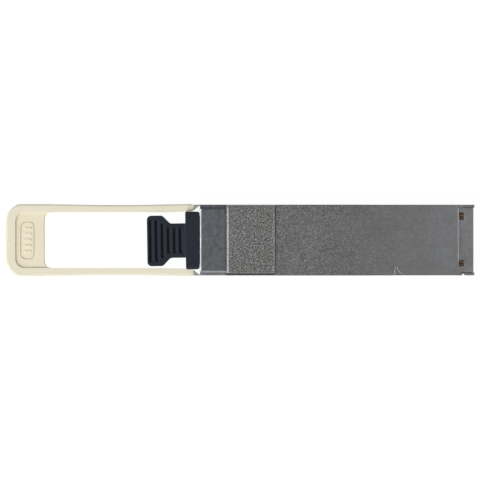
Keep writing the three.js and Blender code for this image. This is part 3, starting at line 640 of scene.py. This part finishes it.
# the rear step's slope and the -Y long round are split so that their parts can take different painted light
for y in (-5.7, 8.35):
    cut_faces(bm, lambda c, n: 47.25 < c.x < 47.8 and n.x > 0.2 and n.z > 0.2, (0, y, 0), (0, 1, 0))
cut_faces(bm, lambda c, n: 0 < c.x < 47 and c.y < -9.0 and n.y < -0.1 and n.z > 0.1, (30.4, 0, 0), (1, 0, 0))
# painted shade on the front part of the -Y long round and on the +Y long round, painted highlight on its rear part, on
# the rear step's slope (strongest in its middle) and on the shoulder's chamfer
paint_light(bm, lambda c, n: 0 < c.x < 30.3 and c.y < -9.0 and n.y < -0.1 and n.z > 0.1, -0.8)
paint_light(bm, lambda c, n: 0 < c.x < 47 and c.y > 9.0 and n.y > 0.1 and n.z > 0.1, -0.25)
paint_light(bm, lambda c, n: 30.5 < c.x < 47 and c.y < -9.0 and n.y < -0.1 and n.z > 0.1, 1.05)
paint_light(bm, lambda c, n: 47.25 < c.x < 47.8 and n.x > 0.2 and n.z > 0.2, 1.0)
paint_light(bm, lambda c, n: 47.25 < c.x < 47.8 and n.x > 0.2 and n.z > 0.2 and -5.7 < c.y < 8.35, 2.2)
paint_light(bm, lambda c, n: -0.45 < c.x < 0.1 and n.x > 0.04 and n.z > 0.2 and c.z > 8.85 and abs(c.y) < 8.5, 1.5)
cover = finish_piece("cover_shell", bm, "housing", cover_metal, ["top_cover"])

for side in ("left", "right"):
    bm = clean_copy(f"cover_screw_{side}")
    round_edges(bm, 0.06, 2, angle=32)
    finish_piece(f"screw_{side}", bm, "housing", screw_metal, [f"cover_screw_{side}"])

bm = clean_copy("bottom_label")
round_edges(bm, 0.02, 1)
finish_piece("blank_label", bm, "housing", label_material, ["bottom_label"])

# a small raised casting mark at the edge of the cover
bm = bmesh.new()
for line in (
    [(31.36, -6.55), (31.24, -7.2), (31.12, -8.0), (31.02, -8.9)],
    [(32.10, -6.35), (31.80, -6.75), (31.78, -7.25), (32.05, -7.85), (32.50, -8.35), (33.05, -8.55), (33.6, -8.58)],
):
    pts = []
    for a, b in zip(line, line[1:]):
        pts += [(a[0] + (b[0] - a[0]) * k / 4, a[1] + (b[1] - a[1]) * k / 4, 8.49) for k in range(4)]
    pts.append((*line[-1], 8.49))
    add_tube(bm, pts, lambda s: 0.05 + 0.09 * math.sin(math.pi * min(1, max(0, s))) ** 0.5, 10, flat=0.55)
bmesh.ops.recalc_face_normals(bm, faces=bm.faces)
# the mark's strokes are painted lighter, a painted highlight, fainter on the second stroke
paint_light(bm, lambda c, n: True, 1.2)
paint_light(bm, lambda c, n: c.x > 31.5, 0.35)
finish_piece("cast_mark", bm, "housing", cover_metal, even=False)


# ------------------------------------------------------------------ slider and tab
bm = clean_copy("pull_slider")
round_edges(bm, 0.05, 2)
finish_piece("slider_sheet", bm, "puller", slider_metal, ["pull_slider"])

bm = clean_copy("pull_tab")
mid_z = 4.5


def rim_edge(e):
    return all(abs(abs(v.co.z - mid_z) - 1.6) < 0.02 for v in e.verts)


def is_outer_face(c):
    return 0.9 < abs(c.z - mid_z) < 1.595 and (abs(c.y) > 8.7 or c.x < -65.5 and (abs(c.y) > 7.6 or c.x < -68.2))


def is_outer(e):
    return all(abs(v.co.y) > 8.9 or v.co.x < -65.5 and (abs(v.co.y) > 7.6 or v.co.x < -68.2) for v in e.verts)


round_edges(bm, 0.55, 4, lambda e: rim_edge(e) and is_outer(e))
round_edges(bm, 0.20, 3, lambda e: rim_edge(e) and not is_outer(e) and all(v.co.x < -21.5 for v in e.verts))
round_edges(bm, 0.28, 3, lambda e: all(abs(abs(v.co.z - mid_z) - 1.25) < 0.02 and -60.2 < v.co.x < -57.4 and abs(v.co.y) < 6.8 for v in e.verts))
round_edges(bm, 0.05, 2, lambda e: all(v.co.x < -61.5 and abs(v.co.y) < 5.2 for v in e.verts))
# painted shade in the groove of the ring
paint_light(bm, lambda c, n: -66.2 < c.x < -62.0 and abs(c.y) < 5.1 and 1.07 < abs(c.z - mid_z) < 1.19, 2.2)
# outer rounds facing the light get painted shade, those facing away get painted light
wear_and_painted_light = bm.faces.layers.float["wear_and_painted_light"]
for f in bm.faces:
    if is_outer_face(f.calc_center_median()) and 0.05 < abs(f.normal.z) < 0.99:
        facing = -0.78 * f.normal.x - 0.62 * f.normal.y
        f[wear_and_painted_light] = 1.0 + 2.2 * facing if facing > 0 else 2.4 * facing
finish_piece("tab_moulding", bm, "puller", tab_material, ["pull_tab"])


# ------------------------------------------------------------------ dust plug
bm = clean_copy("dust_plug")
PLUG_POCKETS = ((-32.66, 5.4), (-31.1, 5.3), (-29.55, 4.4), (-27.99, 3.27), (-26.44, 3.27), (-24.88, 3.27))


PLUG_TURN = math.radians(0.9)


def straight(p):
    """A point of the grip as it would be if the grip were not askew."""
    x, y = p.x + 21.0, p.y + 0.06
    return (x * math.cos(PLUG_TURN) + y * math.sin(PLUG_TURN) - 21.0, y * math.cos(PLUG_TURN) - x * math.sin(PLUG_TURN))


def askew(x, y):
    """The way back from straight()."""
    x += 21.0
    return x * math.cos(PLUG_TURN) - y * math.sin(PLUG_TURN) - 21.0, x * math.sin(PLUG_TURN) + y * math.cos(PLUG_TURN) - 0.06


# the moulding is a little rounder at the grip's end corners, and its shoulders start slightly nearer the neck
for v in bm.verts:
    x, y = straight(v.co)
    side = 1 if y > 0 else -1
    if x < -32.34 and abs(y) > 5.74:
        v.co.x, v.co.y = askew(-32.04 + 1.4 * (x + 32.36), side * 5.44 + 1.4 * (y - side * 5.76))
    elif -30.3 < x < -28.6 and abs(y) > 5.9:
        v.co.x, v.co.y = askew(x + 0.3, y)
    elif -28.3 < x < -26.3 and abs(y) > 4.3:
        v.co.x, v.co.y = askew(x + 0.1, y)
bm.normal_update()


def pocket_rim(e):
    return all(any((abs(p[0] - x) < 0.03 or abs(p[0] - x - 1.12) < 0.03) and abs(p[1]) < y + 0.03
                   for x, y in PLUG_POCKETS) for p in (straight(v.co) for v in e.verts))


round_edges(bm, 0.25, 3, lambda e: all(v.co.x < -22.8 and abs(abs(v.co.z - mid_z) - 2.55) < 0.02 for v in e.verts) and not pocket_rim(e))
round_edges(bm, 0.22, 3, lambda e: all(-23.5 < v.co.x < -19.5 and abs(v.co.y) > 4.9 for v in e.verts))
round_edges(bm, 0.05, 2, lambda e: all(v.co.x < -23.7 for v in e.verts))
round_edges(bm, 0.08, 2, lambda e: not all(v.co.x < -23.7 for v in e.verts))
finish_piece("plug_moulding", bm, "plug", plug_material, ["dust_plug"])


# ------------------------------------------------------------------ return springs
def spring(side, y):
    bm = bmesh.new()
    wire, radius, x0, x1 = 0.16, 0.66, 1.22, 9.42
    pts, total, steps = [], 9.0, 26
    n = int(total * steps)
    closed = 1.0
    for i in range(n + 1):
        turn = i / steps
        if turn < closed:
            x = x0 + 2 * wire * turn
        elif turn > total - closed:
            x = x1 - 2 * wire * (total - turn)
        else:
            s = (turn - closed) / (total - 2 * closed)
            x = x0 + 2 * wire * closed + s * (x1 - x0 - 4 * wire * closed)
        a = 2 * math.pi * turn
        pts.append((x, y + radius * math.cos(a), 4.5 + radius * math.sin(a)))
    add_tube(bm, pts, wire, 10)
    bmesh.ops.recalc_face_normals(bm, faces=bm.faces)
    o = finish_piece(f"spring_{side}", bm, "housing", spring_metal, [f"return_spring_{side}"], even=False)
    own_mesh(o)


spring("left", 7.8)
spring("right", -7.8)


# ------------------------------------------------------------------ fibre port
def simple(node, name, body, material, width, segments=2, angle=28.0, pick=None):
    bm = clean_copy(node)
    round_edges(bm, width, segments, pick, angle)
    return finish_piece(name, bm, body, material, [node])


simple("port_insert", "port_block", "housing", port_material, 0.12)
simple("latch_hook_left", "hook_left", "left_hook", port_material, 0.07)
simple("latch_hook_right", "hook_right", "right_hook", port_material, 0.07)
simple("mt_ferrule", "ferrule_body", "housing", ferrule_material, 0.08)
simple("guide_pin_left", "pin_left", "housing", pin_metal, 0.03, angle=40)
simple("guide_pin_right", "pin_right", "housing", pin_metal, 0.03, angle=40)
simple("pin_keeper", "keeper_clip", "housing", keeper_metal, 0.07)
simple("fibre_ribbon", "ribbon_band", "housing", ribbon_material, 0.05)
simple("shield_gasket", "gasket_strip", "housing", foam_material, 0.12, 3)

bm = bmesh.new()
for k in range(12):
    y = (k - 5.5) * 0.25
    made = bmesh.ops.create_cone(bm, cap_ends=True, segments=14, radius1=0.0625, radius2=0.055, depth=0.03,
                                 matrix=Matrix.Translation((-12.41, y, 4.5)) @ Matrix.Rotation(-math.pi / 2, 4, "Y"))
bmesh.ops.recalc_face_normals(bm, faces=bm.faces)
finish_piece("fibre_ends", bm, "housing", glass_material, even=False)


# ------------------------------------------------------------------ electronics
simple("circuit_board", "board", "housing", board_material, 0.04, 1)
simple("lens_block", "lens_array", "housing", lens_material, 0.08)
simple("laser_array", "laser_die", "housing", die_material, 0.02, 1)
simple("photodiode_array", "photodiode_die", "housing", die_material, 0.02, 1)
simple("laser_driver_chip", "driver_die", "housing", die_material, 0.03, 1)
simple("receiver_amplifier_chip", "amplifier_die", "housing", die_material, 0.03, 1)
simple("tx_retimer_chip", "tx_package", "housing", chip_material, 0.06)
simple("rx_retimer_chip", "rx_package", "housing", chip_material, 0.06)
simple("microcontroller", "controller_package", "housing", chip_material, 0.06)
simple("power_inductor_front", "inductor_front", "housing", ferrite_material, 0.12, 3)
simple("power_inductor_rear", "inductor_rear", "housing", ferrite_material, 0.12, 3)
simple("thermal_pad_top", "gap_pad_top", "housing", pad_material, 0.15, 3)
simple("thermal_pad_bottom", "gap_pad_bottom", "housing", pad_material, 0.15, 3)

# edge contacts, 0.8 mm apart on both faces
bm = bmesh.new()
for k in range(-9, 10):
    long = k not in (-9, -5, 0, 5, 9)
    x1 = 49.95 if long else 50.15
    for z0, z1 in ((4.30, 4.335), (3.265, 3.30)):
        add_box(bm, 44.6, x1, 0.8 * k - 0.3, 0.8 * k + 0.3, z0, z1)
round_edges(bm, 0.012, 1)
finish_piece("edge_contacts", bm, "housing", gold_metal)

# capacitors and resistors on the top of the board
random.seed(7)
ceramic, caps = bmesh.new(), bmesh.new()
taken = [(35.2, 42.4, -1.6, 1.6), (22.4, 30.2, -7.4, 5.4), (11.0, 20.6, -3.6, 3.6)]
spots = []
for x in [31.0, 32.6, 34.2, 35.8, 37.4, 39.0, 40.6, 42.2, 43.6]:
    for y in [-6.6, -5.6, -4.6, -3.6, -2.6, 2.6, 3.6, 4.6, 5.6, 6.6]:
        if random.random() < 0.55:
            spots.append((x, y))
for x in [21.2]:
    for y in [-5.2, -3.9, -2.6, -1.3, 0.0, 1.3, 2.6, 3.9, 5.2]:
        spots.append((x, y))
for x, y in spots:
    if any(a < x < b and c < y < d for a, b, c, d in taken) or (x < 33 and abs(y) > 6.2):
        continue
    add_box(ceramic, x - 0.28, x + 0.28, y - 0.235, y + 0.235, 4.305, 4.62)
    for s in (-1, 1):
        add_box(caps, x + s * 0.39 - 0.11, x + s * 0.39 + 0.11, y - 0.25, y + 0.25, 4.302, 4.64)
round_edges(ceramic, 0.03, 1)
round_edges(caps, 0.04, 2)
finish_piece("board_ceramics", ceramic, "housing", ceramic_material)
finish_piece("board_terminals", caps, "housing", tin_metal)


# ------------------------------------------------------------------ floor, light, camera
mesh = bpy.data.meshes.new("floor")
mesh.from_pydata([(-3, -3, -0.00005), (3, -3, -0.00005), (3, 3, -0.00005), (-3, 3, -0.00005)], [], [(0, 1, 2, 3)])
floor = bpy.data.objects.new("floor", mesh)
scene.collection.objects.link(floor)
t = Tree("floor_white", Roughness=1.0)
t.bsdf.inputs["Specular IOR Level"].default_value = 0.0
t.bsdf.inputs["Emission Strength"].default_value = 0.96
t.bsdf.inputs["Emission Color"].default_value = (1.0, 1.0, 1.0, 1.0)
faint = t.noise(0.01, 2.0)
mesh.materials.append(t.done(t.tint((0.09, 0.09, 0.09), t.add(1.0, centred(t, faint, 0.02)))))

world = bpy.data.worlds.new("studio")
scene.world = world
world.use_nodes = True
nt = world.node_tree
nt.nodes.clear()


def wn(kind, **props):
    n = nt.nodes.new(kind)
    for k, v in props.items():
        setattr(n, k, v)
    return n


def wput(s, v):
    if isinstance(v, bpy.types.NodeSocket):
        nt.links.new(v, s)
    else:
        s.default_value = v


def wmath(op, *args, clamp=False):
    n = wn("ShaderNodeMath", operation=op, use_clamp=clamp)
    for s, v in zip(n.inputs, args):
        wput(s, v)
    return n.outputs[0]


def wdot(v):
    n = wn("ShaderNodeVectorMath", operation="DOT_PRODUCT")
    wput(n.inputs[0], direction)
    n.inputs[1].default_value = v
    return n.outputs["Value"]


def wrange(v, a, b, c, d):
    n = wn("ShaderNodeMapRange", interpolation_type="SMOOTHSTEP")
    for s, x in zip(n.inputs, (v, a, b, c, d)):
        wput(s, x)
    return n.outputs[0]


direction = wn("ShaderNodeTexCoord").outputs["Generated"]
norm = wn("ShaderNodeVectorMath", operation="NORMALIZE")
nt.links.new(direction, norm.inputs[0])
direction = norm.outputs[0]
ambient = wrange(wdot((-0.45, -0.75, 0.9)), -0.9, 0.5, 0.11, 0.25)


def lobe(towards, sharpness, strength):
    """A soft light from one direction."""
    return wmath("MULTIPLY", wmath("POWER", wmath("MAXIMUM", wdot(Vector(towards).normalized()), 0.0), sharpness), strength)


light = wmath("ADD", ambient, lobe((-0.60, -0.48, 0.64), 8.0, 5.4))
light = wmath("ADD", light, lobe((-1.0, -0.22, 0.10), 40.0, 3.0))
light = wmath("ADD", light, lobe((1.0, 0.15, 0.45), 12.0, 0.5))
back = wn("ShaderNodeBackground")
back.inputs[0].default_value = (1.0, 1.0, 1.0, 1.0)
wput(back.inputs[1], light)
plain = wn("ShaderNodeBackground")
plain.inputs[0].default_value = (1.0, 1.0, 1.0, 1.0)
plain.inputs[1].default_value = 0.93
path = wn("ShaderNodeLightPath")
mixed = wn("ShaderNodeMixShader")
nt.links.new(path.outputs["Is Camera Ray"], mixed.inputs[0])
nt.links.new(back.outputs[0], mixed.inputs[1])
nt.links.new(plain.outputs[0], mixed.inputs[2])
out = wn("ShaderNodeOutputWorld")
nt.links.new(mixed.outputs[0], out.inputs[0])

scene.view_settings.view_transform = "Standard"
scene.view_settings.look = "None"
scene.view_settings.exposure = 0.0
scene.view_settings.gamma = 1.0

cam = bpy.data.cameras.new("camera")
cam.type = "ORTHO"
cam.ortho_scale = 0.124416
camera = bpy.data.objects.new("camera", cam)
camera.location = (-0.009072, 0.000026, 0.4)
scene.collection.objects.link(camera)
scene.camera = camera
cam.clip_start = 0.01
cam.clip_end = 10.0
